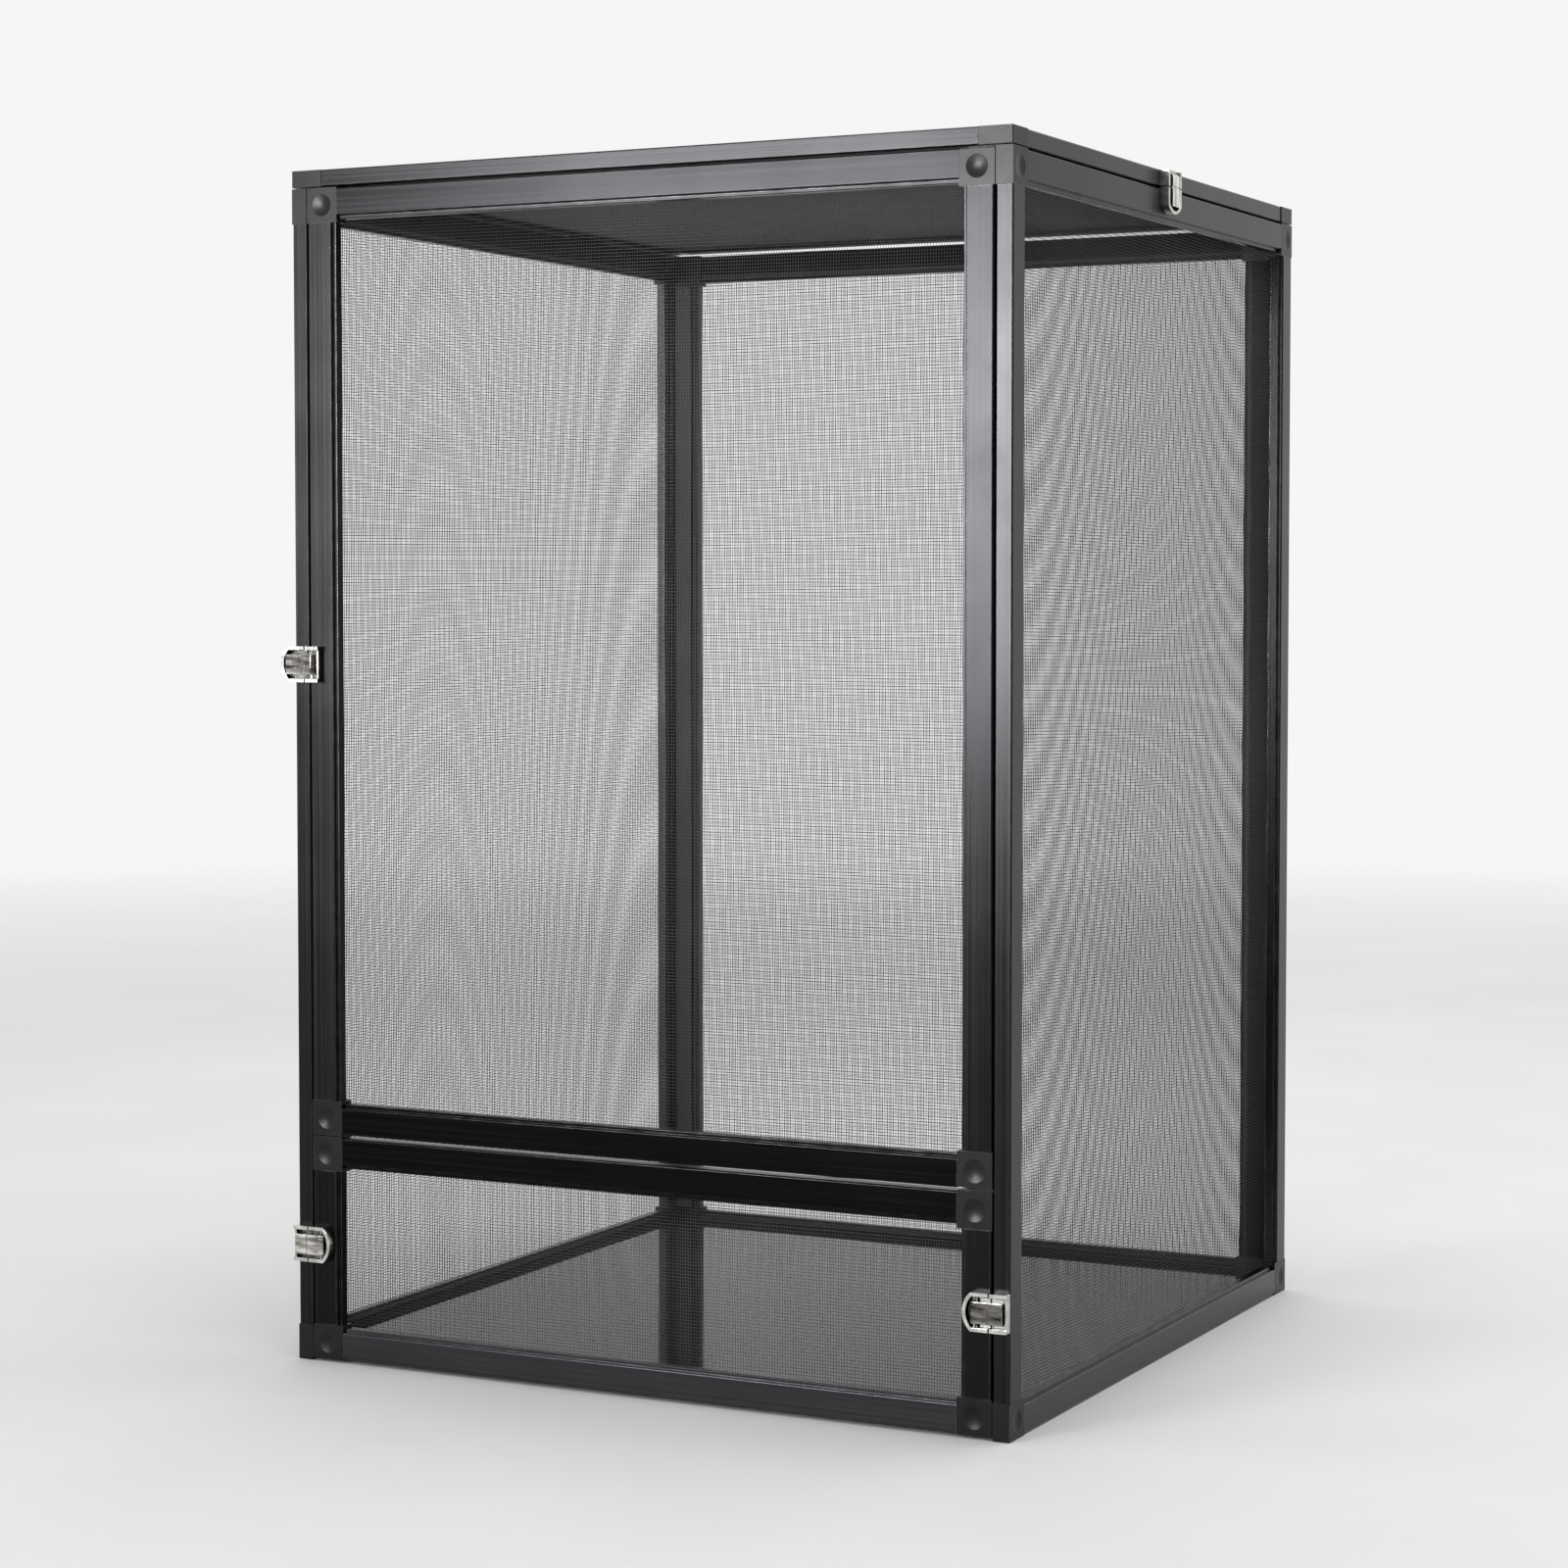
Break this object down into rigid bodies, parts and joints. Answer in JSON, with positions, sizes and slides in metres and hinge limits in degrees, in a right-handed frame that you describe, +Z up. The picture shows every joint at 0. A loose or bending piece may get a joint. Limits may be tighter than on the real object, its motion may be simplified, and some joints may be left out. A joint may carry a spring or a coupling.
{
  "type": "mesh reptile cage",
  "caption": "Tall box cage of dark rail-framed screen panels, with a hinged upper door, a fold-down lower flap, a hinged lid and snap latches, for keeping reptiles.",
  "frame": {"origin": "middle of the base of the whole cage", "axes": "+Z up, -Y towards the front doors, +X to the right as seen from the front"},
  "size_m": [0.403, 0.3976, 0.6],
  "materials": {
    "frame_rail": "black anodised, satin",
    "corner_cap": "satin",
    "screen": "woven screen, matte",
    "spline": "matte",
    "floor_board": "polished",
    "nickel_latch": "nickel plated",
    "steel_hinge": "plain",
    "black_steel": "blackened"
  },
  "bodies": {
    "cage_frame": {"left_panel_top_rail": "frame_rail", "left_panel_bottom_rail": "frame_rail", "left_panel_front_stile": "frame_rail", "left_panel_back_stile": "frame_rail", "left_panel_corners": "corner_cap", "left_panel_mesh": "screen", "right_panel_top_rail": "frame_rail", "right_panel_bottom_rail": "frame_rail", "right_panel_front_stile": "frame_rail", "right_panel_back_stile": "frame_rail", "right_panel_corners": "corner_cap", "right_panel_mesh": "screen", "back_panel_top_rail": "frame_rail", "back_panel_bottom_rail": "frame_rail", "back_panel_left_stile": "frame_rail", "back_panel_right_stile": "frame_rail", "back_panel_corners": "corner_cap", "back_panel_mesh": "screen", "floor_front_rail": "frame_rail", "floor_back_rail": "frame_rail", "floor_left_rail": "frame_rail", "floor_right_rail": "frame_rail", "floor_corners": "corner_cap", "floor_mesh": "screen", "floor_board": "floor_board", "fixed_panel_splines": "spline", "upper_door_pivots": "black_steel", "flap_pivot_pins": "black_steel", "lid_hinge_fixed_leaves": "steel_hinge", "lid_hinge_pins": "steel_hinge", "fixed_latch_plates": "nickel_latch"},
    "lid": {"lid_front_rail": "frame_rail", "lid_back_rail": "frame_rail", "lid_left_rail": "frame_rail", "lid_right_rail": "frame_rail", "lid_corners": "corner_cap", "lid_mesh": "screen", "lid_splines": "spline", "lid_hinge_moving_leaves": "steel_hinge", "lid_latch_plate": "nickel_latch"},
    "upper_door": {"upper_door_top_rail": "frame_rail", "upper_door_bottom_rail": "frame_rail", "upper_door_left_stile": "frame_rail", "upper_door_right_stile": "frame_rail", "upper_door_corners": "corner_cap", "upper_door_mesh": "screen", "upper_door_splines": "spline", "upper_door_latch_plate": "nickel_latch"},
    "flap": {"flap_top_rail": "frame_rail", "flap_bottom_rail": "frame_rail", "flap_left_stile": "frame_rail", "flap_right_stile": "frame_rail", "flap_corners": "corner_cap", "flap_mesh": "screen", "flap_splines": "spline", "flap_latch_plates": "nickel_latch"},
    "lid_lever": {"lid_latch_lever": "nickel_latch"},
    "upper_door_lever": {"upper_door_latch_lever": "nickel_latch"},
    "flap_left_lever": {"flap_left_latch_lever": "nickel_latch"},
    "flap_right_lever": {"flap_right_latch_lever": "nickel_latch"}
  },
  "joints": [
    {"name": "upper_door_hinge", "type": "hinge", "parent": "cage_frame", "child": "upper_door", "pos_m": [0.1782, -0.19125, 0.35313], "axis": [0, 0, 1], "range_deg": [0, 130]},
    {"name": "flap_hinge", "type": "hinge", "parent": "cage_frame", "child": "flap", "pos_m": [0, -0.189, 0.00761], "axis": [1, 0, 0], "range_deg": [0, 70]},
    {"name": "lid_hinge", "type": "hinge", "parent": "cage_frame", "child": "lid", "pos_m": [-0.1987, 0.00275, 0.59125], "axis": [0, -1, 0], "range_deg": [0, 110]},
    {"name": "upper_door_lever_hinge", "type": "hinge", "parent": "upper_door", "child": "upper_door_lever", "pos_m": [-0.1832, -0.19665, 0.35313], "axis": [0, 0, 1], "range_deg": [0, 100]},
    {"name": "flap_left_lever_hinge", "type": "hinge", "parent": "flap", "child": "flap_left_lever", "pos_m": [-0.17981, -0.19665, 0.05983], "axis": [0, 0, 1], "range_deg": [0, 100]},
    {"name": "flap_right_lever_hinge", "type": "hinge", "parent": "flap", "child": "flap_right_lever", "pos_m": [0.17981, -0.19665, 0.05983], "axis": [0, 0, -1], "range_deg": [0, 100]},
    {"name": "lid_lever_hinge", "type": "hinge", "parent": "lid", "child": "lid_lever", "pos_m": [0.1994, 0.00275, 0.5963], "axis": [0, -1, 0], "range_deg": [0, 100]}
  ]
}
